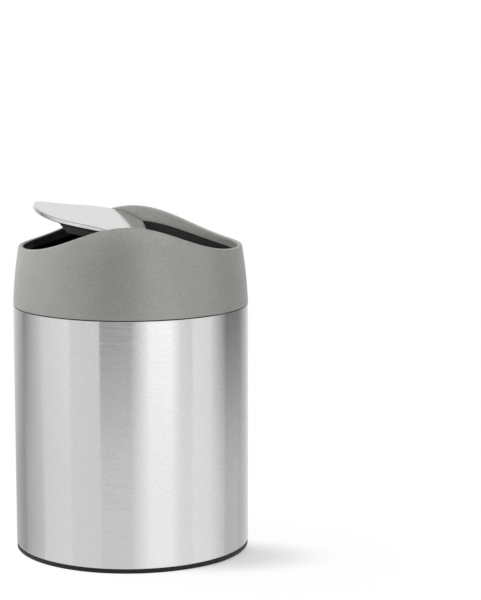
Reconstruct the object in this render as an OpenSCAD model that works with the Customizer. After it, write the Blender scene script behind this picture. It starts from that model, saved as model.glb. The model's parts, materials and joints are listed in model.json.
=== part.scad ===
// Push top countertop bin: a steel sleeve on a black base, a removable inner bucket, and a
// lift-off collar that carries a two-way swing lid. Millimetres, +Z up, floor at z = 0, the
// centre of the base at the origin. The lid swings about a line along Y, through the collar's
// front and rear crests, and is drawn pushed down on its right side.

/* [Body] */
// Outside diameter of the steel sleeve
body_d = 122; // [118:1:126]
// Height of the sleeve's lower edge above the floor
base_h = 2.4; // [2.2:0.1:3.2]
// Height of the sleeve's upper edge above the floor
sleeve_top = 128.1; // [120:0.1:140]
// Thickness of the steel sheet
sheet_t = 0.8; // [0.6:0.1:0.9]

/* [Collar] */
// Height of the collar's front and rear crests above the floor
crest_z = 173.7; // [172.7:0.1:175]
// Height from the low points at the sides up to the crests
rim_rise = 14.8; // [12:0.1:15]
// Distance from the centre to where the rim's wave is lowest
rim_half = 58; // [56:0.5:60]
// Wall thickness of the grey shell
shell_t = 2.5; // [2.2:0.1:2.6]
// Radius of the arc that the collar's side follows
side_arc_r = 240; // [220:5:260]
// How far below the joint the side's arc stands upright
side_arc_drop = 9.4; // [8:0.1:10]

/* [Lid] */
// Diameter of the lid
lid_d = 103.8; // [103:0.2:105]
// Height of the pivot line above the floor
pivot_z = 163; // [162.5:0.1:163.5]
// How far the closed lid's crest lies under the collar's crest
lid_recess = 5.9; // [5.5:0.1:6.5]
// Height from the closed lid's tips up to its crest
lid_rise = 14.3; // [13:0.1:15]
// Distance from the centre to where the lid's wave would be lowest
lid_half = 56; // [54:0.5:58]
// How far the right side is pushed down from closed, in degrees
lid_push = 30; // [0:1:60]
// How far the lid swings each way from closed, in degrees
lid_swing = 65; // [60:1:65]

/* [Bucket] */
// Outside radius of the bucket at its foot
bucket_foot_r = 54.5; // [50:0.5:55]
// Height of the bucket's rim above the floor
bucket_top = 118.6; // [100:0.2:118.6]
// Wall thickness of the bucket
bucket_t = 1.4; // [1.2:0.1:2]

/* [Hidden] */
$fn = 96;
arc_fn = 256;

// Colours
steel = [0.78, 0.78, 0.78];
warm_grey = [0.56, 0.55, 0.53];
black = [0.09, 0.09, 0.09];
soft_black = [0.06, 0.06, 0.06];
ivory = [0.85, 0.84, 0.8];

body_r = body_d / 2;
sleeve_in_r = body_r - sheet_t;
far = 200;

// Base
hem_w = 2.4;
pan_edge_r = body_r - 0.1;
pan_bottom = 0.3;
pan_floor = 6;
pan_floor_t = 1.8;
pan_wall_t = 2;
pan_wall_top = 7;
recess_r = 46;
rib_t = 1.6;
rib_count = 6;
foot_in_r = 50;
foot_out_r = 55;
foot_top = 1.8;
foot_chamfer = 0.4;

// Ring that lines the sleeve's upper edge
ring_t = 1.2;
ring_in_r = sleeve_in_r - ring_t;
ring_bottom = 116;
ring_flange_t = 0.3;
ring_flange_r = body_r - 0.4;
seat_z = sleeve_top + ring_flange_t;

// Bucket
bucket_mouth_r = 57;
bucket_rim_r = 58.4;
bucket_rim_t = 1.6;
bucket_corner_r = 6;

// Collar
joint_gap = 0.3;
shell_bottom = seat_z + joint_gap;
side_arc_x = body_r - sqrt(pow(side_arc_r, 2) - pow(side_arc_drop, 2));
side_arc_z = seat_z - side_arc_drop;
rim_mid = crest_z - rim_rise / 2;
wave_step = 3;
wave_reach = 63;
liner_gap = 0.1;
liner_t = 1.1;
liner_mid = 160.1;
liner_rise = 10.8;
spigot_bottom = 119.6;
spigot_out_r = ring_in_r - joint_gap;
spigot_t = 1.3;
flange_r = 59.6;
flange_t = 1;
rabbet_gap = 0.05;
groove_bottom = 122;
groove_h = 2.4;
groove_depth = 0.5;
grip_out_r = ring_in_r - 0.15;

// Pivot
pin_r = 1.5;
pin_inner_y = 45.4;
pin_shell_depth = 1.3;
shell_at_pivot = side_arc_x + sqrt(pow(side_arc_r, 2) - pow(pivot_z - side_arc_z, 2)) - shell_t;
bush_clearance = 0.05;
bush_r = 2.6;
bush_inner_y = 44.6;
boss_w = 9;
boss_drop = 3.6;
boss_outer_y = 51.2;
boss_inner_y = 43;

// Stops
fin_t = 1.6;
fin_top = pivot_z - 13.4;
fin_h = 9;
fin_inner_y = 46.4;
fin_outer_y = 56.55;
pad_w = 3.4;
pad_h = 5;
pad_cap_t = 0.9;
pad_inner_y = 45.6;
pad_outer_y = 50.5;

// Lid, in heights below the lid's own upper face
lid_r = lid_d / 2;
lid_crest = crest_z - lid_recess;
skin_t = 0.7;
lid_hem_h = 2;
lid_hem_t = 0.7;
frame_r = lid_r - lid_hem_t - 0.4;
plate_t = 1.6;
housing_r = 49.6;
housing_end_x = 36;
housing_end_slope = 0.27;
skirt_t = 2;
skirt_drop = 6.4;
end_wall_t = 1.5;
cover_gap = 0.1;
cover_t = 1.2;
cover_top = skirt_drop - cover_t;
cover_notch_w = boss_w + 0.6;
weight_t = 2.4;
weight_in_x = 14;
weight_out_x = 28;
weight_half_y = 19;
screw_y = [-32, -14, 14, 32];
screw_r = 1.2;
screw_bite = 3.9;
screw_head_r = 2.4;
screw_head_h = 1.2;
screw_slot_w = 0.6;
screw_slot_depth = 0.7;
screw_boss_r = 3;

// Height of the collar's rim at a distance x from the centre
function rim_z(x) = rim_mid + rim_rise / 2 * cos(180 * x / rim_half);

// Height of the liner's upper edge
function liner_z(x) = liner_mid + liner_rise / 2 * cos(180 * x / rim_half);

// Height of the closed lid's upper face
function lid_z(x) = lid_crest - lid_rise / 2 * (1 - cos(180 * x / lid_half));

// Stations across the object at which the waves are drawn
stations = [for (x = [-wave_reach : wave_step : wave_reach]) x];

// Extrudes an outline drawn in x and z along the whole depth of the object
module across() {
    rotate([90, 0, 0]) linear_extrude(height = far, center = true) children();
}

// Everything above the collar's rim
module above_rim() {
    across() polygon(concat([for (x = stations) [x, rim_z(x)]],
        [[wave_reach, far], [-wave_reach, far]]));
}

// Everything above the liner's upper edge
module above_liner() {
    across() polygon(concat([for (x = stations) [x, liner_z(x)]],
        [[wave_reach, far], [-wave_reach, far]]));
}

// A wavy slab between two depths below the closed lid's upper face
module lid_slab(depth_a, depth_b) {
    across() polygon(concat([for (x = stations) [x, lid_z(x) - depth_a]],
        [for (x = stations) [-x, lid_z(-x) - depth_b]]));
}

// The housing under the closed lid, set in by a wall: round at front and rear, sloped at its ends
module housing(wall, end_wall) {
    end_z = lid_z(housing_end_x) - skin_t - plate_t + end_wall;
    intersection() {
        translate([0, 0, lid_crest - 40]) cylinder(r = housing_r - wall, h = 60);
        across() polygon([[0, end_z - housing_end_slope * housing_end_x],
            [wave_reach, end_z + housing_end_slope * (wave_reach - housing_end_x)], [wave_reach, far],
            [-wave_reach, far], [-wave_reach, end_z + housing_end_slope * (wave_reach - housing_end_x)]]);
    }
}

// The collar's side, set in from the outer face by a depth, between two heights
module side_outline(depth_a, depth_b, z_a, z_b) {
    intersection() {
        difference() {
            translate([side_arc_x, side_arc_z]) circle(r = side_arc_r - depth_a, $fn = arc_fn);
            translate([side_arc_x, side_arc_z]) circle(r = side_arc_r - depth_b, $fn = arc_fn);
        }
        translate([body_r - 20, z_a]) square([30, z_b - z_a]);
    }
}

// A plain ring
module ring(out_r, in_r, z_a, z_b) {
    difference() {
        translate([0, 0, z_a]) cylinder(r = out_r, h = z_b - z_a);
        translate([0, 0, z_a - 1]) cylinder(r = in_r, h = z_b - z_a + 2);
    }
}

// A block centred on x, between two y and two z values
module block(w, y_a, y_b, z_a, z_b) {
    translate([-w / 2, y_a, z_a]) cube([w, y_b - y_a, z_b - z_a]);
}

// A rod along the pivot line, at the rear
module pivot_rod(r, y_a, y_b) {
    translate([0, y_a, pivot_z]) rotate([-90, 0, 0]) cylinder(r = r, h = y_b - y_a);
}

// Repeats a front or rear piece: side is 1 at the rear and -1 at the front
module at_end(side) {
    if (side > 0) children();
    else rotate([0, 0, 180]) children();
}

// Turns the closed lid to the pose in which it is drawn
module pushed() {
    translate([0, 0, pivot_z]) rotate([0, lid_push, 0]) translate([0, 0, -pivot_z]) children();
}

// Brushed steel sheet, rolled inward at the foot
module sleeve() {
    color(steel) union() {
        ring(body_r, sleeve_in_r, base_h, sleeve_top);
        ring(sleeve_in_r + sheet_t / 2, body_r - hem_w, base_h, base_h + sheet_t);
    }
}

// Black base that closes the sleeve, ribbed in its recess underneath
module base_pan() {
    hem_top = base_h + sheet_t;
    color(black) union() {
        difference() {
            union() {
                translate([0, 0, pan_bottom]) cylinder(r = pan_edge_r, h = base_h - pan_bottom);
                translate([0, 0, base_h]) cylinder(r = body_r - hem_w, h = sheet_t);
                translate([0, 0, hem_top]) cylinder(r = sleeve_in_r, h = pan_floor - hem_top);
            }
            translate([0, 0, -1]) cylinder(r = recess_r, h = pan_floor - pan_floor_t + 1);
            ring(foot_out_r, foot_in_r, -1, foot_top);
        }
        ring(sleeve_in_r, sleeve_in_r - pan_wall_t, pan_floor, pan_wall_top);
        for (i = [0 : rib_count - 1])
            rotate([0, 0, i * 360 / rib_count])
                translate([4, -rib_t / 2, foot_top])
                    cube([recess_r - 3, rib_t, pan_floor - pan_floor_t / 2 - foot_top]);
    }
}

// Rubber ring in the base's groove, on which the bin stands
module anti_slip_ring() {
    color(soft_black) rotate_extrude() polygon([
        [foot_in_r, foot_top], [foot_in_r, foot_chamfer], [foot_in_r + foot_chamfer, 0],
        [foot_out_r - foot_chamfer, 0], [foot_out_r, foot_chamfer], [foot_out_r, foot_top]]);
}

// Ring that covers the sleeve's upper edge and takes the collar's spigot
module top_ring() {
    color(black) union() {
        ring(sleeve_in_r, ring_in_r, ring_bottom, sleeve_top);
        ring(ring_flange_r, ring_in_r, sleeve_top, seat_z);
    }
}

// Tapered bucket with a round foot and a turned rim
module inner_bucket() {
    inner_r = bucket_foot_r - bucket_t;
    corner = [bucket_foot_r - bucket_corner_r, pan_floor + bucket_corner_r];
    turn = [for (a = [0 : 15 : 90]) a];
    color(black) rotate_extrude() polygon(concat(
        [[0, pan_floor]],
        [for (a = turn) corner + bucket_corner_r * [sin(a), -cos(a)]],
        [[bucket_mouth_r, bucket_top - bucket_rim_t], [bucket_rim_r, bucket_top - bucket_rim_t],
            [bucket_rim_r, bucket_top], [bucket_mouth_r - bucket_t, bucket_top]],
        [for (a = turn) corner + (bucket_corner_r - bucket_t) * [cos(a), -sin(a)]],
        [[0, pan_floor + bucket_t]]));
    assert(inner_r > bucket_corner_r);
}

// Grey outer shell of the collar
module collar_shell() {
    color(warm_grey) difference() {
        rotate_extrude() side_outline(0, shell_t, shell_bottom, crest_z + 1);
        above_rim();
        translate([0, 0, shell_bottom - 1])
            cylinder(r = flange_r + rabbet_gap, h = seat_z + flange_t - shell_bottom + 1);
        for (side = [-1, 1])
            at_end(side) pivot_rod(pin_r, shell_at_pivot - 1, shell_at_pivot + pin_shell_depth);
    }
}

// Black lining of the collar, with the spigot that enters the sleeve
module collar_liner() {
    liner_in = shell_t + liner_gap + liner_t;
    color(black) difference() {
        union() {
            difference() {
                rotate_extrude() side_outline(shell_t + liner_gap, liner_in, seat_z, crest_z);
                above_liner();
            }
            ring(spigot_out_r, spigot_out_r - spigot_t, spigot_bottom, seat_z + flange_t);
            ring(flange_r, spigot_out_r - spigot_t, seat_z, seat_z + flange_t);
            for (side = [-1, 1])
                at_end(side) block(fin_t, fin_inner_y, fin_outer_y, fin_top - fin_h, fin_top);
        }
        ring(spigot_out_r + 1, spigot_out_r - groove_depth, groove_bottom, groove_bottom + groove_h);
        for (side = [-1, 1]) at_end(side) pivot_rod(pin_r, fin_inner_y, body_r);
    }
}

// Silicone ring in the spigot's groove, which holds the collar by friction
module grip_ring() {
    color(soft_black)
        ring(grip_out_r, spigot_out_r - groove_depth, groove_bottom, groove_bottom + groove_h);
}

// Steel dowel between the shell and the lid
module pivot_pin(side) {
    color(steel) at_end(side) pivot_rod(pin_r, pin_inner_y, shell_at_pivot + pin_shell_depth);
}

// Rubber cap over the liner's stop fin
module stop_pad(side) {
    color(soft_black) at_end(side) difference() {
        block(pad_w, pad_inner_y, pad_outer_y, fin_top - pad_h, fin_top + pad_cap_t);
        block(fin_t, fin_inner_y, pad_outer_y + 1, fin_top - pad_h - 1, fin_top);
    }
}

// Steel skin of the lid with its edge turned down
module lid_skin() {
    color(steel) pushed() union() {
        intersection() {
            translate([0, 0, lid_crest - 30]) cylinder(r = lid_r, h = 60);
            lid_slab(0, skin_t);
        }
        intersection() {
            ring(lid_r, lid_r - lid_hem_t, lid_crest - 30, lid_crest + 30);
            lid_slab(skin_t / 2, lid_hem_h);
        }
    }
}

// Black frame under the skin, with its skirt, pivot bosses and screw bosses
module lid_frame() {
    plate_bottom = skin_t + plate_t;
    color(black) pushed() difference() {
        union() {
            intersection() {
                translate([0, 0, lid_crest - 30]) cylinder(r = frame_r, h = 60);
                lid_slab(skin_t, plate_bottom);
            }
            intersection() {
                difference() {
                    housing(0, 0);
                    housing(skirt_t, end_wall_t);
                }
                lid_slab(plate_bottom - 0.5, skirt_drop);
            }
            for (side = [-1, 1])
                at_end(side) block(boss_w, boss_inner_y, boss_outer_y, pivot_z - boss_drop,
                    lid_z(boss_w / 2) - plate_bottom + 0.5);
            for (y = screw_y)
                translate([0, y, lid_crest - cover_top])
                    cylinder(r = screw_boss_r, h = cover_top - plate_bottom + 0.3);
        }
        for (side = [-1, 1]) at_end(side) pivot_rod(bush_r, bush_inner_y, boss_outer_y + 1);
        for (y = screw_y)
            translate([0, y, lid_crest - skirt_drop - 1]) cylinder(r = screw_r, h = screw_bite + 1);
    }
}

// Black plate that closes the frame from below
module lid_cover() {
    color(black) pushed() difference() {
        intersection() {
            housing(skirt_t + cover_gap, end_wall_t + cover_gap);
            lid_slab(cover_top, skirt_drop);
        }
        for (side = [-1, 1])
            at_end(side) block(cover_notch_w, boss_inner_y - 0.3, far / 2, 0, lid_crest);
        for (y = screw_y)
            translate([0, y, lid_crest - skirt_drop - 1]) {
                cylinder(r = screw_r, h = cover_t + 2);
                cylinder(r = screw_head_r + 0.3, h = 1);
            }
    }
}

// Steel weight between the frame and the cover
module lid_weight(side) {
    middle_x = (weight_in_x + weight_out_x) / 2;
    color(steel) pushed() intersection() {
        translate([side * middle_x, 0, pivot_z])
            cube([weight_out_x - weight_in_x, 2 * weight_half_y, 80], center = true);
        lid_slab(skin_t + plate_t, skin_t + plate_t + weight_t);
    }
}

// Bush in the lid's pivot boss, turning on the pin
module pivot_bush(side) {
    color(ivory) pushed() at_end(side) difference() {
        pivot_rod(bush_r, bush_inner_y, boss_outer_y);
        pivot_rod(pin_r + bush_clearance, pin_inner_y - 0.3, boss_outer_y + 1);
    }
}

// Four screws that hold the cover to the frame
module lid_screws() {
    color(steel) pushed() for (y = screw_y) {
        translate([0, y, lid_crest - skirt_drop]) difference() {
            union() {
                cylinder(r = screw_r, h = screw_bite);
                translate([0, 0, -screw_head_h]) cylinder(r = screw_head_r, h = screw_head_h);
            }
            for (a = [45, 135])
                rotate([0, 0, a])
                    translate([-screw_head_r * 0.7, -screw_slot_w / 2, -screw_head_h - 1])
                        cube([screw_head_r * 1.4, screw_slot_w, screw_slot_depth + 1]);
        }
    }
}

sleeve();
base_pan();
anti_slip_ring();
top_ring();
inner_bucket();
collar_shell();
collar_liner();
grip_ring();
pivot_pin(-1);  // pivot_pin_front
pivot_pin(1);  // pivot_pin_rear
stop_pad(-1);  // stop_pad_front
stop_pad(1);  // stop_pad_rear
lid_skin();
lid_frame();
lid_cover();
lid_weight(-1);  // lid_weight_left
lid_weight(1);  // lid_weight_right
pivot_bush(-1);  // pivot_bush_front
pivot_bush(1);  // pivot_bush_rear
lid_screws();
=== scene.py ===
# %% [markdown]
# # A countertop bin in brushed steel
# The object is a small round bin, about 18 cm tall. A brushed steel sleeve stands on a thin
# black base, and a warm grey collar with a wavy rim carries a lid that swings both ways. The
# solid model of its working pieces is loaded first and stays where it is. This script dresses
# it: each visible piece gets a finer mesh or a finish of its own, and then light.

# %% Load the solid model
import json
import math

import bmesh
import bpy
from mathutils import Matrix, Vector


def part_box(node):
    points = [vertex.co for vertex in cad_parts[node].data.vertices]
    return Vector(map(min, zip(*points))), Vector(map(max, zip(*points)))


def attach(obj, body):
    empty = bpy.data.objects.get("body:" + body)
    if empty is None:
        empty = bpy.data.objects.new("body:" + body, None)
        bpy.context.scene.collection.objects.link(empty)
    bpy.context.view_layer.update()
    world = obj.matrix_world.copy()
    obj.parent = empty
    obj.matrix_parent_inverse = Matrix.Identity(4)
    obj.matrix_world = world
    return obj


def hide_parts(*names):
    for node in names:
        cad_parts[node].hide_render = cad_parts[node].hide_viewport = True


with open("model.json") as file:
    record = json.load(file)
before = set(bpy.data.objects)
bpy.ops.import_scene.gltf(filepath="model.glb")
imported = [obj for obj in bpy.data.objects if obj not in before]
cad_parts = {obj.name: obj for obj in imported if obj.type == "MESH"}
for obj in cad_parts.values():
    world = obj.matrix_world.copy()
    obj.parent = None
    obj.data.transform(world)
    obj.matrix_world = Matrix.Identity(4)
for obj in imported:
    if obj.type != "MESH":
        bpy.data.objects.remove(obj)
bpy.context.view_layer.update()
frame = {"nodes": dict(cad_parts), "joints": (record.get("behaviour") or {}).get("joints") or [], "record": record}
nodes = frame["nodes"]

# %% [markdown]
# The places of the pieces are read from the solid model, so that a finer mesh lies where its
# solid lies. What a box can't tell, such as thicknesses, edge radii and waves, is written down.
# Blender counts in metres, so a millimetre is a thousandth. The collar's shell ends a little
# lower than its solid, which narrows the dark line at the joint.

# %% Sizes of the body and the collar
MM = 0.001
JOINT_NARROWED = 0.2 * MM
sleeve_low, sleeve_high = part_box("sleeve")
shell_low, shell_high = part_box("collar_shell")
ring_low, ring_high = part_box("top_ring")
BODY_R = sleeve_high.x
BASE_H = sleeve_low.z
SLEEVE_TOP = sleeve_high.z
SEAT_Z = ring_high.z
SHELL_BOTTOM = shell_low.z - JOINT_NARROWED
CREST_Z = shell_high.z
SHEET_T = 0.8 * MM
SHELL_T = 2.5 * MM
print("body radius %.1f mm, crest at %.1f mm" % (BODY_R / MM, CREST_Z / MM))

# %% [markdown]
# The collar's side follows one large arc that stands upright a little below the joint. Its rim
# is a cosine wave, read across the bin: high at the front and rear, low at the left and right.
# The closed lid follows a wave of its own, a little under the rim. Both could be drawn freely
# as curves, but a formula keeps the lid and the rim apart by a nearly even gap.

# %% Curves of the collar and the lid
SIDE_ARC_R = 240 * MM
SIDE_ARC_DROP = 9.4 * MM
SIDE_ARC_X = BODY_R - math.sqrt(SIDE_ARC_R ** 2 - SIDE_ARC_DROP ** 2)
RIM_RISE = 14.8 * MM
RIM_HALF = 58 * MM
LID_R = 51.9 * MM
LID_RECESS = 5.9 * MM
LID_RISE = 14.3 * MM
LID_HALF = 56 * MM
LID_PUSH = math.radians(30)
PIVOT = Vector(next(j for j in frame["joints"] if j["name"] == "lid_swing")["pos_m"])


def wave(x, crest, rise, half):
    """Height of a cosine wave at x: highest at 0, and lower by the rise at half on each side."""
    return crest - rise / 2 * (1 - math.cos(math.pi * x / half))


def rim_z(x):
    """Height of the collar's rim."""
    return wave(x, CREST_Z, RIM_RISE, RIM_HALF)


def lid_z(x):
    """Height of the closed lid's upper face."""
    return wave(x, CREST_Z - LID_RECESS, LID_RISE, LID_HALF)


def side_r(z):
    """Radius of the collar's outer face at a height."""
    return SIDE_ARC_X + math.sqrt(SIDE_ARC_R ** 2 - (z - SEAT_Z + SIDE_ARC_DROP) ** 2)


print("rim from %.1f to %.1f mm" % (rim_z(RIM_HALF) / MM, rim_z(0) / MM))

# %% [markdown]
# Nearly every piece of the bin is round. A lathe, or Blender's Screw modifier, would need the
# same section all round, but the rim and the lid are not the same height all round. So one
# helper sweeps a cross-section about the upright axis and asks for it afresh at each angle.
# A corner of a section is rounded where a radius is written beside it, since no moulded or
# rolled edge is truly sharp, and a round edge is what catches the light.

# %% Round the corners of a cross-section
EDGE_STEPS = 4
LONGEST_CUT = 0.45


def rounded(corners):
    """Points of an outline whose corners (r, z, radius) are replaced by short curves.

    A curve takes up at most LONGEST_CUT of the sides beside it.
    """
    points = []
    for i, (r, z, radius) in enumerate(corners):
        corner = Vector((r, z))
        if not radius:
            points.append(corner)
            continue
        back = Vector(corners[i - 1][:2]) - corner
        on = Vector(corners[(i + 1) % len(corners)][:2]) - corner
        cut = radius / math.tan(back.angle(on) / 2)
        start = corner + back.normalized() * min(cut, back.length * LONGEST_CUT)
        end = corner + on.normalized() * min(cut, on.length * LONGEST_CUT)
        for step in range(EDGE_STEPS + 1):
            t = step / EDGE_STEPS
            points.append((1 - t) ** 2 * start + 2 * t * (1 - t) * corner + t ** 2 * end)
    return points


print("points on a rounded corner:", EDGE_STEPS + 1)

# %% [markdown]
# The sweep joins the sections of neighbouring angles with faces. Edges that turn by more than
# HARD_EDGE stay sharp in the shading, and all others are shaded smooth.

# %% Sweep a cross-section round the axis
AROUND = 256
HARD_EDGE = math.radians(50)
ON_AXIS = 1e-9
SAME_PLACE = 1e-7


def finished(name, mesh):
    """An object of a mesh, smooth but for its hard edges."""
    mesh.set_sharp_from_angle(angle=HARD_EDGE)
    mesh.shade_smooth()
    made = bpy.data.objects.new(name, mesh)
    bpy.context.scene.collection.objects.link(made)
    return made


def swept(name, section):
    """A closed mesh from section(angle), which gives the outline (r, z) at an angle.

    A section that starts on the axis also ends there, and needs no face between the two.
    """
    shape = bmesh.new()
    rows = []
    for i in range(AROUND):
        angle = 2 * math.pi * i / AROUND
        rows.append([shape.verts.new((r * math.cos(angle), r * math.sin(angle), z))
                     for r, z in section(angle)])
    count = len(rows[0])
    on_axis = rows[0][0].co.xy.length < ON_AXIS
    for i in range(AROUND):
        this, after = rows[i], rows[(i + 1) % AROUND]
        for k in range(count - 1 if on_axis else count):
            shape.faces.new((this[k], after[k], after[(k + 1) % count], this[(k + 1) % count]))
    bmesh.ops.remove_doubles(shape, verts=shape.verts, dist=SAME_PLACE)
    bmesh.ops.recalc_face_normals(shape, faces=shape.faces)
    mesh = bpy.data.meshes.new(name)
    shape.to_mesh(mesh)
    shape.free()
    print(name, "faces:", len(mesh.polygons))
    return finished(name, mesh)


print("a section is swept in", AROUND, "steps")

# %% [markdown]
# Shader arithmetic reads best as arithmetic. A Wire is one socket of a material: adding or
# multiplying wires adds the Math nodes behind the scenes.

# %% Write shader arithmetic
class Wire:
    """A socket that can be added, subtracted and multiplied like a number."""

    def __init__(self, nodes, socket):
        self.nodes = nodes
        self.socket = socket

    def math(self, operation, first, second):
        return self.nodes.node("ShaderNodeMath", {"operation": operation}, {0: first, 1: second})

    def __add__(self, other):
        return self.math("ADD", self, other)

    def __radd__(self, other):
        return self.math("ADD", other, self)

    def __sub__(self, other):
        return self.math("SUBTRACT", self, other)

    def __rsub__(self, other):
        return self.math("SUBTRACT", other, self)

    def __mul__(self, other):
        return self.math("MULTIPLY", self, other)

    def __rmul__(self, other):
        return self.math("MULTIPLY", other, self)

    def ramp(self, low, high, to_low=0.0, to_high=1.0):
        """to_low under low, to_high over high, and a smooth change between."""
        return self.nodes.node("ShaderNodeMapRange", {"interpolation_type": "SMOOTHSTEP"},
                               {"Value": self, "From Min": low, "From Max": high,
                                "To Min": to_low, "To Max": to_high})

    def stretched(self, x, y, z):
        """A place whose three directions are scaled."""
        return self.nodes.node("ShaderNodeVectorMath", {"operation": "MULTIPLY"},
                               {0: self, 1: (x, y, z)})

    def away_from(self, x, y, z):
        """How far, and in which direction, a place lies from another."""
        return self.nodes.node("ShaderNodeVectorMath", {"operation": "SUBTRACT"},
                               {0: self, 1: (x, y, z)})

    def length(self):
        """The distance that a direction covers."""
        made = self.nodes.node("ShaderNodeVectorMath", {"operation": "LENGTH"}, {0: self})
        return made.also("Value")

    def also(self, output):
        """Another output of the same node."""
        return Wire(self.nodes, self.socket.node.outputs[output])


print("a wire has:", ", ".join(name for name in vars(Wire) if not name.startswith("__")))

# %% [markdown]
# Nodes is one material or world, whose method node makes any node from its type, its settings
# and what goes into its sockets. A Finish is the surface of a piece. Its noise is read at a
# place in metres, so the three numbers of stretched say how many specks fit in a metre along
# each direction: a small number draws the specks out into lines.

# %% Write materials
MIX_FACTOR, MIX_FIRST, MIX_SECOND = 0, 6, 7
MIX_RESULT = 2


class Nodes:
    """The nodes of a material or a world, started empty."""

    def __init__(self, owner):
        owner.use_nodes = True
        self.owner = owner
        self.tree = owner.node_tree
        self.tree.nodes.clear()

    def node(self, kind, settings=None, sockets=None):
        """A new node: its settings are set first, then its sockets are fed."""
        made = self.tree.nodes.new(kind)
        for name, value in (settings or {}).items():
            setattr(made, name, value)
        for name, value in (sockets or {}).items():
            self.feed(made.inputs[name], value)
        outputs = [out for out in made.outputs if out.enabled]
        return Wire(self, outputs[0]) if outputs else None

    def feed(self, socket, value):
        """Links a wire to a socket, or writes a plain value on it."""
        if isinstance(value, Wire):
            self.tree.links.new(value.socket, socket)
        else:
            socket.default_value = value

    def seen(self):
        """1 where the camera or a mirror looks, and 0 for the light that is sent out."""
        path = self.node("ShaderNodeLightPath")
        looks = path.also("Is Glossy Ray") + path.also("Is Transmission Ray")
        return (path.also("Is Camera Ray") + looks).ramp(0, 1)


class Finish(Nodes):
    """The surface of a piece and the few steps that it is made of."""

    def __init__(self, name, **uniform):
        super().__init__(bpy.data.materials.new(name))
        sockets = {socket.replace("_", " "): value for socket, value in uniform.items()}
        surface = self.node("ShaderNodeBsdfPrincipled", {}, sockets)
        self.shader = surface.socket.node
        self.node("ShaderNodeOutputMaterial", {}, {"Surface": surface})

    def set(self, socket, value):
        """Feeds a socket of the surface."""
        self.feed(self.shader.inputs[socket], value)

    def place(self):
        """The place on the object, in metres."""
        return self.node("ShaderNodeTexCoord").also("Object")

    def noise(self, place, detail=2.0, rough=0.5):
        """Soft specks, about one for each unit of the place."""
        return self.node("ShaderNodeTexNoise", {},
                         {"Vector": place, "Scale": 1.0, "Detail": detail, "Roughness": rough})

    def mix(self, factor, first, second):
        """A colour between two colours."""
        made = self.tree.nodes.new("ShaderNodeMix")
        made.data_type = "RGBA"
        for socket, value in ((MIX_FACTOR, factor), (MIX_FIRST, first), (MIX_SECOND, second)):
            self.feed(made.inputs[socket], value)
        return Wire(self, made.outputs[MIX_RESULT])

    def bumped(self, height, distance):
        """Raises the surface by height times distance."""
        bump = self.node("ShaderNodeBump", {}, {"Height": height, "Distance": distance})
        self.set("Normal", bump)


def grey(level, red=1.0, blue=1.0):
    """A grey, tinted by a little more or less red and blue."""
    return (level * red, level, level * blue, 1.0)


print("a middle grey is", grey(0.5))

# %% [markdown]
# Brushed steel has fine scratches that all run one way. On the sleeve they run round the body,
# so reflections stay crisp from side to side but smear up and down, which the shader's
# anisotropy gives without drawing each scratch. Two layers of noise add what the eye can still
# make out: a fine mottle, and strokes that are long round the body and very short upright. A
# slow cloud varies the gloss. The sheet is joined by a weld at the rear, ground flat, which
# stays as a fine upright line.

# %% Brushed steel of the sleeve
WELD_CORE = 0.15 * MM
WELD_EDGE = 0.45 * MM
WELD_DARKER = 0.8
WELD_DULLER = 0.15
WELD_SUNK = 3.0
GRAIN_DEPTH = 0.002 * MM


def brushed_steel():
    steel = Finish("brushed_steel", Metallic=1.0, Anisotropic=1.0, Anisotropic_Rotation=0.25)
    place = steel.place()
    mottle = steel.noise(place.stretched(700, 700, 1000), detail=3.0, rough=0.6)
    strokes = steel.noise(place.stretched(90, 90, 1300), detail=2.0, rough=0.5)
    cloud = steel.noise(place.stretched(22, 22, 40), detail=1.0)
    grain = mottle * 0.65 + strokes * 0.35
    rear = steel.node("ShaderNodeSeparateXYZ", {}, {0: place}).also("Y").ramp(0, BODY_R)
    weld = place.stretched(1, 0, 0).length().ramp(WELD_CORE, WELD_EDGE, 1.0, 0.0) * rear
    tone = grain.ramp(0.25, 0.75) - weld * WELD_DARKER
    steel.set("Base Color", steel.mix(tone, grey(0.745, 0.994, 1.006), grey(0.815)))
    gloss = 0.12 + strokes.ramp(0.4, 0.7) * 0.12 + cloud * 0.04
    steel.set("Roughness", gloss + weld * WELD_DULLER)
    steel.bumped(grain - weld * WELD_SUNK, GRAIN_DEPTH)
    return steel.owner


finishes = {"brushed_steel": brushed_steel()}
print("the weld shows", 2 * WELD_EDGE / MM, "mm wide")

# %% [markdown]
# The lid is the same steel with a finer satin, so it mirrors the wall behind it softly. The
# turned parts, the dowels, screws and weights, are duller and were never brushed.

# %% Satin steel of the lid and plain steel of the small parts
SATIN_DEPTH = 0.0005 * MM
TURNED_DEPTH = 0.01 * MM


def satin_steel():
    steel = Finish("lid_steel", Metallic=1.0)
    place = steel.place()
    lines = steel.noise(place.stretched(900, 30, 900), detail=3.0, rough=0.6)
    smears = steel.noise(place.stretched(35, 25, 35), detail=2.0)
    steel.set("Base Color", steel.mix(lines.ramp(0.3, 0.7), grey(0.79), grey(0.81)))
    steel.set("Roughness", 0.055 + lines * 0.03 + smears * 0.03)
    steel.bumped(lines, SATIN_DEPTH)
    return steel.owner


def plain_steel():
    steel = Finish("plain_steel", Metallic=1.0)
    place = steel.place()
    mottle = steel.noise(place.stretched(900, 900, 900), detail=4.0, rough=0.7)
    steel.set("Base Color", steel.mix(mottle.ramp(0.3, 0.7), grey(0.50, 1.01, 0.99), grey(0.62)))
    steel.set("Roughness", 0.32 + mottle * 0.2)
    steel.bumped(mottle, TURNED_DEPTH)
    return steel.owner


finishes["lid_steel"] = satin_steel()
finishes["plain_steel"] = plain_steel()
print("metal finishes:", ", ".join(finishes))

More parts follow.
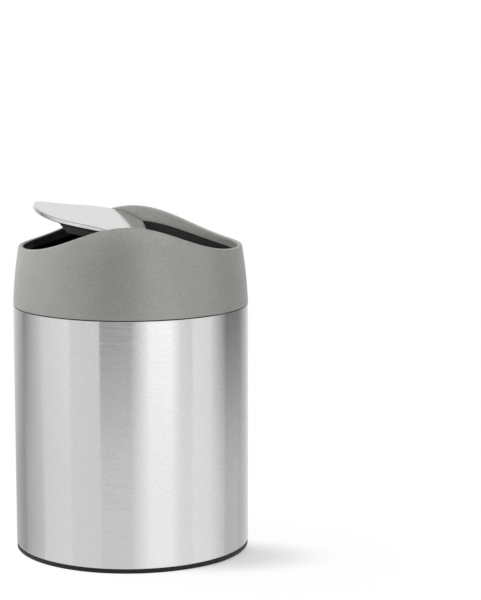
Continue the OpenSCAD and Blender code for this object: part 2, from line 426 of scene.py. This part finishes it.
# %% [markdown]
# Moulded plastic takes the texture of its mould. The collar's plastic is filled with fine metal
# flakes, so it mirrors the bright and dark cards a little and sparkles from grain to grain. The
# black parts share one recipe that differs only in shade, gloss and the size and depth of its
# grain. The bushes are of a pale, slippery plastic.

# %% Moulded plastics and rubber
FLAKE_DEPTH = 0.01 * MM
BUSH_DEPTH = 0.01 * MM


def collar_plastic():
    plastic = Finish("warm_grey_plastic", Metallic=0.45)
    place = plastic.place()
    flakes = plastic.noise(place.stretched(1000, 1000, 1000), detail=2.0, rough=0.6)
    flow = plastic.noise(place.stretched(60, 60, 90), detail=3.0)
    tone = flakes * 0.75 + flow * 0.25
    dull, bright = grey(0.315, 1.015, 0.945), grey(0.375, 1.015, 0.945)
    plastic.set("Base Color", plastic.mix(tone.ramp(0.3, 0.7), dull, bright))
    plastic.set("Roughness", 0.36 + flakes * 0.08)
    plastic.bumped(flakes, FLAKE_DEPTH)
    return plastic.owner


def dark_moulding(name, level, rough, grain_size, depth):
    plastic = Finish(name, Specular_IOR_Level=0.25)
    place = plastic.place()
    per_metre = 1 / grain_size
    grain = plastic.noise(place.stretched(per_metre, per_metre, per_metre), detail=2.0, rough=0.6)
    flow = plastic.noise(place.stretched(55, 55, 70), detail=3.0)
    tone = grain * 0.5 + flow * 0.5
    dark, pale = grey(level * 0.8), grey(level * 1.25)
    plastic.set("Base Color", plastic.mix(tone.ramp(0.3, 0.7), dark, pale))
    plastic.set("Roughness", rough + grain * 0.12)
    plastic.bumped(grain, depth)
    return plastic.owner


def bush_plastic():
    plastic = Finish("bush_plastic")
    place = plastic.place()
    marks = plastic.noise(place.stretched(900, 900, 900), detail=3.0)
    dull, bright = grey(0.62, 1.06, 0.94), grey(0.70, 1.05, 0.95)
    plastic.set("Base Color", plastic.mix(marks.ramp(0.3, 0.7), dull, bright))
    plastic.set("Roughness", 0.28 + marks * 0.12)
    plastic.bumped(marks, BUSH_DEPTH)
    return plastic.owner


finishes["warm_grey_plastic"] = collar_plastic()
for name, level, rough, grain_size, depth in (("black_plastic", 0.016, 0.38, 0.4 * MM, 0.02 * MM),
                                              ("bucket_plastic", 0.02, 0.30, 0.8 * MM, 0.01 * MM),
                                              ("rubber", 0.022, 0.72, 0.3 * MM, 0.03 * MM)):
    finishes[name] = dark_moulding(name, level, rough, grain_size, depth)
finishes["bush_plastic"] = bush_plastic()
print("finishes:", ", ".join(finishes))

# %% [markdown]
# A finer piece takes the place of its solid: it rides on the same body, hides the solid and
# names the finish that it wears. Solids whose shape is good already only get the finish.

# %% Dress a solid
slot_of = {part["node"]: part["material_slot"] for part in frame["record"]["subparts"]}
bodies = frame["record"]["behaviour"]["bodies"]
body_of = {node: body for body, held in bodies.items() for node in held}


def dress(piece, node):
    """The piece stands for the node and wears the node's finish."""
    piece.data.materials.append(finishes[slot_of[node]])
    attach(piece, body_of[node])
    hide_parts(node)


for name, solid in nodes.items():
    for slot in solid.material_slots:
        slot.material = finishes[slot_of[name]]
print("solids with a finish:", len(nodes))

# %% [markdown]
# The sleeve is a single sheet. Its upper edge is eased, and its foot is rolled inward over the
# black base with a radius of about its own thickness, which draws a thin bright line there.

# %% Sleeve
HEM_W = 2.4 * MM
FOOT_ROLL_R = 0.7 * MM
SLEEVE_LIP_R = 0.4 * MM
INNER_EDGE_R = 0.2 * MM


def sleeve_section(angle):
    """The same section at every angle, with the rolled foot at its bottom."""
    inner = BODY_R - SHEET_T
    return rounded([
        (BODY_R, BASE_H, FOOT_ROLL_R), (BODY_R, SLEEVE_TOP, SLEEVE_LIP_R),
        (inner, SLEEVE_TOP, INNER_EDGE_R), (inner, BASE_H + SHEET_T, 0),
        (BODY_R - HEM_W, BASE_H + SHEET_T, INNER_EDGE_R), (BODY_R - HEM_W, BASE_H, INNER_EDGE_R)])


dress(swept("sleeve_sheet", sleeve_section), "sleeve")

# %% [markdown]
# The collar's rim rises and falls, so its section is worked out afresh at each angle. The rim's
# height is read at the place where the wall meets it, which takes a few rounds of looking up
# the height for a radius and the radius for that height. Cutting a plain collar with a wavy
# block would be quicker to write, but would leave the rim without its round edge. The rabbet is
# the step at the foot of the wall that sits over the ring on the sleeve.

# %% Collar shell
SIDE_STEPS = 16
ROUNDS = 8
RABBET_TOP = SEAT_Z + 1.0 * MM
RABBET_R = 59.65 * MM
RIM_EDGE_R = 0.8 * MM
RIM_LIP_H = 1.1 * MM
SHELL_FOOT_R = 0.3 * MM
SHELL_FOOT_H = 0.5 * MM


def meeting(angle, inset, height):
    """Radius and height at which the collar's side, set in, meets a wave."""
    z = CREST_Z
    for _ in range(ROUNDS):
        z = height((side_r(z) - inset) * math.cos(angle))
    return side_r(z) - inset, z


def along_side(inset, z_a, z_b):
    """Plain points up or down the collar's side, between two heights."""
    heights = [z_a + (z_b - z_a) * i / (SIDE_STEPS + 1) for i in range(1, SIDE_STEPS + 1)]
    return [(side_r(z) - inset, z, 0) for z in heights]


def shell_section(angle):
    """Up the outer face, over the rim, down the inner face and round the rabbet."""
    outer_r, outer_z = meeting(angle, 0, rim_z)
    inner_r, inner_z = meeting(angle, SHELL_T, rim_z)
    return rounded([
        (side_r(SHELL_BOTTOM), SHELL_BOTTOM, SHELL_FOOT_R),
        *along_side(0, SHELL_BOTTOM + SHELL_FOOT_H, outer_z - RIM_LIP_H),
        (outer_r, outer_z, RIM_EDGE_R), (inner_r, inner_z, RIM_EDGE_R),
        *along_side(SHELL_T, inner_z - RIM_LIP_H, RABBET_TOP),
        (side_r(RABBET_TOP) - SHELL_T, RABBET_TOP, 0), (RABBET_R, RABBET_TOP, 0),
        (RABBET_R, SHELL_BOTTOM, INNER_EDGE_R)])


dress(swept("collar_shell_skin", shell_section), "collar_shell")

# %% [markdown]
# The lid is a disc cut from a wavy sheet with its edge turned down and a little inward. It is
# made level, where its height follows the wave, and then turned about the pivot line as the
# solid is.

# %% Lid skin
LID_SHEET_T = 0.7 * MM
LID_HEM_H = 2.0 * MM
LID_TUCK = 0.4 * MM
LID_EDGE_R = 0.6 * MM
LID_HEM_R = 0.3 * MM
RINGS = 40


def lid_section(angle):
    """From the axis out along the top, round the turned edge and back along the underside."""
    across = math.cos(angle)

    def at(r, below, radius=0):
        return (r, lid_z(r * across) - below, radius)

    inner = LID_R - LID_SHEET_T
    top = [at(LID_R * i / RINGS, 0) for i in range(RINGS)]
    edge = [at(LID_R, 0, LID_EDGE_R), at(LID_R - LID_TUCK, LID_HEM_H, LID_HEM_R),
            at(inner - LID_TUCK, LID_HEM_H, INNER_EDGE_R), at(inner, LID_SHEET_T, INNER_EDGE_R)]
    under = [at(inner * i / RINGS, LID_SHEET_T) for i in range(RINGS - 1, -1, -1)]
    return rounded([*top, *edge, *under])


pushed = (Matrix.Translation(PIVOT) @ Matrix.Rotation(LID_PUSH, 4, "Y")
          @ Matrix.Translation(-PIVOT))
lid_skin = swept("lid_skin_sheet", lid_section)
lid_skin.data.transform(pushed)
dress(lid_skin, "lid_skin")

# %% [markdown]
# The camera stands a little over a metre away and looks slightly down, with the bin left of the
# middle of the picture. Its turn and its dip are in radians. A long lens keeps the bin's sides
# nearly parallel. The lens follows from how many pixels a radian covers in the picture.

# %% Camera
FRAME_LONG_SIDE = 600
CAMERA_AT = Vector((24.1, -1027.5, 285.4)) * MM
CAMERA_YAW = 0.0321
CAMERA_DIP = 0.1506
PIXELS_PER_RADIAN = 1992.1
SENSOR = 36.0
camera = bpy.data.objects.new("camera", bpy.data.cameras.new("camera"))
bpy.context.scene.collection.objects.link(camera)
camera.data.sensor_width = SENSOR
camera.data.lens = SENSOR * PIXELS_PER_RADIAN / FRAME_LONG_SIDE
camera.location = CAMERA_AT
camera.rotation_euler = (math.pi / 2 - CAMERA_DIP, 0, -CAMERA_YAW)
bpy.context.scene.camera = camera
print("lens %.1f mm" % camera.data.lens)

# %% [markdown]
# Seen by the camera the world is plain white, as a studio sweep is, and mirrored in the steel
# it is nearly so, while the light that it sends out stays moderate.

# %% World
AMBIENT = 0.3
MIRRORED_SKY = 0.8


def white_world():
    studio = Nodes(bpy.data.worlds.new("studio"))
    looked_at = studio.node("ShaderNodeLightPath").also("Is Camera Ray")
    strength = studio.seen().ramp(0, 1, AMBIENT, MIRRORED_SKY) + looked_at * (1 - MIRRORED_SKY)
    light = studio.node("ShaderNodeBackground", {}, {"Color": grey(1.0), "Strength": strength})
    studio.node("ShaderNodeOutputWorld", {}, {"Surface": light})
    return studio.owner


bpy.context.scene.world = white_world()
print("ambient light:", AMBIENT)

# %% [markdown]
# The floor is white and keeps the soft shadow. It fades into the world's white away from the
# bin, so that no horizon shows. Its own shading counts most right of the bin and a little in
# front, where the shadow falls: there it is matt paper, and elsewhere it mostly glows.

# %% Floor
FLOOR_HALF = 6.0
FLOOR_DROP = 0.05 * MM
FLOOR_WHITE = 0.92
SHADOW_AT = (45 * MM, -30 * MM, 0)
SHADOW_STRETCH = (0.55, 1, 0)
SHADOW_FROM = 8 * MM
SHADOW_TO = 36 * MM
GLOW_IN_SHADOW = 0.0
GLOW_NEAR = 0.95
FAR_FROM = 100 * MM
FAR_TO = 180 * MM
MIRRORED_FLOOR = 0.78


def white_floor():
    paper = Nodes(bpy.data.materials.new("floor_white"))
    place = paper.node("ShaderNodeNewGeometry")
    from_shadow = place.away_from(*SHADOW_AT).stretched(*SHADOW_STRETCH).length()
    near = from_shadow.ramp(SHADOW_FROM, SHADOW_TO, GLOW_IN_SHADOW, GLOW_NEAR)
    glow = (near + place.length().ramp(FAR_FROM, FAR_TO, 0, 1 - GLOW_NEAR)) * paper.seen()
    matt = paper.node("ShaderNodeBsdfDiffuse", {}, {"Color": grey(FLOOR_WHITE)})
    mirrored = paper.node("ShaderNodeLightPath").also("Is Glossy Ray")
    strength = mirrored.ramp(0, 1, 1.0, MIRRORED_FLOOR)
    shine = paper.node("ShaderNodeEmission", {}, {"Strength": strength})
    both = paper.node("ShaderNodeMixShader", {}, {0: glow, 1: matt, 2: shine})
    paper.node("ShaderNodeOutputMaterial", {}, {"Surface": both})
    return paper.owner


bpy.ops.mesh.primitive_plane_add(size=2 * FLOOR_HALF, location=(0, 0, -FLOOR_DROP))
floor = bpy.context.active_object
floor.name = "floor"
floor.data.materials.append(white_floor())
print("floor: %.0f m wide" % (2 * FLOOR_HALF))

# %% [markdown]
# Round polished things are lit with cards. Lamps alone would leave only thin streaks on the
# steel, while a card shows as a broad band. A card is seen by mirrors alone, and its grey is
# kept at each corner of its mesh, so that it can fade as a panel lit from one side does.

# %% Cards that only mirrors see
def grey_light():
    """A light whose strength is kept at each corner of the mesh."""
    shade = Nodes(bpy.data.materials.new("card_light"))
    level = shade.node("ShaderNodeAttribute", {"attribute_name": "level"}).also("Fac")
    shine = shade.node("ShaderNodeEmission", {}, {"Strength": level})
    shade.node("ShaderNodeOutputMaterial", {}, {"Surface": shine})
    return shade.owner


card_light = grey_light()


def card(name, corners, levels, faces):
    """A card that neither the camera nor the soft light sees."""
    mesh = bpy.data.meshes.new(name)
    mesh.from_pydata(corners, [], faces)
    mesh.attributes.new("level", "FLOAT", "POINT").data.foreach_set("value", levels)
    mesh.materials.append(card_light)
    made = bpy.data.objects.new(name, mesh)
    bpy.context.scene.collection.objects.link(made)
    made.visible_camera = False
    made.visible_diffuse = False
    made.visible_shadow = False


print("cards glow with the material", card_light.name)

# %% [markdown]
# Each card round the bin shows as one upright band on the steel. It lies on the floor from the
# bin outward and then stands up, and its edges follow the camera's lines of sight as the steel
# mirrors them, so that the band has straight sides. A row of CARDS holds the card's name, the
# two angles at which its band begins and ends on the steel, counted from the front and positive
# to the right, the grey of its left and of its right edge, and the grey that its foot takes on,
# because the floor below it is mirrored too.

# %% Cards round the bin
CARD_NEAR = 3 * MM
CARD_FAR = 190 * MM
CARD_LIFT = 0.5 * MM
CARD_FADE_H = 120 * MM
CARD_H = 260 * MM
FLOOR_SHARE = 0.6
CARD_STEP = math.radians(1.5)
FEWEST_STEPS = 2
CARD_PROFILE = ((CARD_NEAR, CARD_LIFT, FLOOR_SHARE), (CARD_FAR, CARD_LIFT, FLOOR_SHARE),
                (CARD_FAR, CARD_FADE_H, 0), (CARD_FAR, CARD_H, 0))
CARDS = [("left_rim", -85, -62, 1.00, 0.38, 0.32), ("left_slope", -62, -46, 0.23, 0.74, 0.62),
         ("left_wall", -46, -28.8, 0.78, 0.90, 0.77),
         ("left_inner", -28.8, -13.6, 0.77, 0.75, 0.77),
         ("front_dark", -13.6, 1, 0.36, 0.40, 0.95), ("front_slope", 1, 9.5, 0.42, 1.10, 0.97),
         ("key", 9.5, 20.5, 1.18, 1.22, 0.92), ("key_slope", 20.5, 24.5, 1.18, 0.88, 0.90),
         ("right_inner", 24.5, 31, 0.84, 0.74, 0.92), ("right_wall", 31, 42, 0.90, 0.84, 0.92),
         ("right_slope", 42, 52, 0.77, 0.24, 0.94), ("right_dark", 52, 65, 0.17, 0.20, 0.84),
         ("right_rim", 65, 80, 0.21, 0.75, 0.70)]


def sight_line(angle):
    """The place on the sleeve at an angle, and where the camera's look goes from there."""
    outward = Vector((math.sin(angle), -math.cos(angle)))
    look = (outward * BODY_R - CAMERA_AT.xy).normalized()
    return outward * BODY_R, look.reflect(outward)


def band_card(name, from_deg, to_deg, from_level, to_level, foot):
    """A card whose mirror image is an upright band between two angles of the sleeve."""
    a, b = math.radians(from_deg), math.radians(to_deg)
    steps = max(FEWEST_STEPS, round((b - a) / CARD_STEP))
    corners, levels, faces = [], [], []
    for away, z, share in CARD_PROFILE:
        for i in range(steps + 1):
            angle = a + (b - a) * i / steps
            start, onward = sight_line(angle)
            corners.append((*(start + onward * away), z))
            level = from_level + (to_level - from_level) * i / steps
            levels.append(level + (foot - level) * share)
    for row in range(len(CARD_PROFILE) - 1):
        for i in range(row * (steps + 1), row * (steps + 1) + steps):
            faces.append((i, i + 1, i + steps + 2, i + steps + 1))
    card(name, corners, levels, faces)


for name, *angles_and_levels in CARDS:
    band_card("card_" + name, *angles_and_levels)
print("cards round the bin:", len(CARDS))

# %% [markdown]
# A darker card hangs overhead. It draws the thin grey line along the lid's rounded edge, which
# would be lost against the white world.

# %% Card overhead
CEILING_Z = 0.9
CEILING_HALF = 0.8
CEILING_LEVEL = 0.3
ceiling = [(x * CEILING_HALF, y * CEILING_HALF, CEILING_Z)
           for x, y in ((-1, -1), (1, -1), (1, 1), (-1, 1))]
card("card_ceiling", ceiling, [CEILING_LEVEL] * 4, [(0, 1, 2, 3)])
print("card overhead at %.1f m" % CEILING_Z)

# %% [markdown]
# Large soft lamps stand left and right of the bin and a third hangs above. The left one stands a
# little behind, which sends the shadow to the right and forward. One stands high in front,
# and two behind lighten the collar's left and right edges. The last is narrow and looks
# over the front of the rim, so that it reaches only the inside of the collar's rear wall.
# A lamp's place and size are in metres and its power in watts.

# %% Lamps
BODY_MIDDLE = (0, 0, 0.09)
REAR_WALL = (0, 0.057, 0.168)
CONE_SOFTNESS = 0.5
BULB_R = 0.02


def hang(lamp, place, target):
    """Hangs a lamp at a place and turns it to a target. Neither camera nor mirrors see it."""
    made = bpy.data.objects.new(lamp.name, lamp)
    bpy.context.scene.collection.objects.link(made)
    made.location = place
    made.rotation_euler = (Vector(target) - Vector(place)).to_track_quat("-Z", "Y").to_euler()
    made.visible_camera = False
    made.visible_glossy = False


def soft_lamp(name, place, size, power):
    """A flat lamp that looks at the middle of the body."""
    lamp = bpy.data.lights.new(name, "AREA")
    lamp.shape = "RECTANGLE"
    lamp.size, lamp.size_y = size
    lamp.energy = power
    hang(lamp, place, BODY_MIDDLE)


def narrow_lamp(name, place, target, degrees, power):
    """A lamp that lights only a cone of so many degrees."""
    lamp = bpy.data.lights.new(name, "SPOT")
    lamp.spot_size = math.radians(degrees)
    lamp.spot_blend = CONE_SOFTNESS
    lamp.shadow_soft_size = BULB_R
    lamp.energy = power
    hang(lamp, place, target)


soft_lamp("lamp_left", place=(-0.85, 0.35, 0.7), size=(0.9, 0.5), power=11)
soft_lamp("lamp_right", place=(1.0, -0.5, 0.9), size=(0.9, 1.0), power=4)
soft_lamp("lamp_top", place=(0.1, 0.2, 1.2), size=(0.9, 0.9), power=3)
soft_lamp("lamp_front", place=(-0.5, -0.9, 1.0), size=(0.8, 0.6), power=2)
soft_lamp("lamp_rear_left", place=(-0.9, 0.45, 0.3), size=(0.4, 0.4), power=4)
soft_lamp("lamp_rear_right", place=(0.9, 0.5, 0.3), size=(0.4, 0.4), power=5)
narrow_lamp("lamp_mouth", place=(0, -0.30, 0.36), target=REAR_WALL, degrees=18, power=6)
print("lamps:", len(bpy.data.lights))

# %% [markdown]
# The picture is shown without a film look.

# %% Finish
bpy.context.scene.view_settings.view_transform = "Standard"
